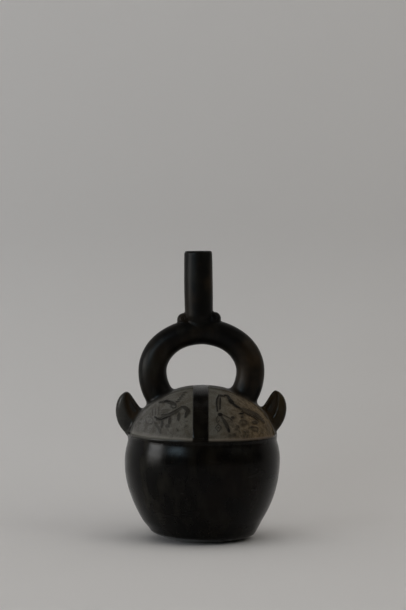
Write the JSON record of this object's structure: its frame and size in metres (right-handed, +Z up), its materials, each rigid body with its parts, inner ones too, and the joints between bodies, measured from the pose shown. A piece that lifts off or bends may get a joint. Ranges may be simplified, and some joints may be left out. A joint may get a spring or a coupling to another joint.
{
  "type": "stirrup spout vessel",
  "caption": "Round blackware vessel with a domed relief shoulder, side lugs and a hoop-shaped stirrup handle that carries one upright spout.",
  "frame": {"origin": "middle of the flat resting face under the body", "axes": "+Z up, along the spout; -Y towards the front, the face with the full relief; +X to the right when the front is looked at, in the plane of the stirrup"},
  "size_m": [0.136, 0.124, 0.23],
  "materials": {
    "burnished_blackware": "reduction-fired earthenware, burnished to a soft shine, matt and dusty in the relief panels"
  },
  "bodies": {
    "root": {"stirrup_spout_vessel": "burnished_blackware"}
  },
  "joints": []
}
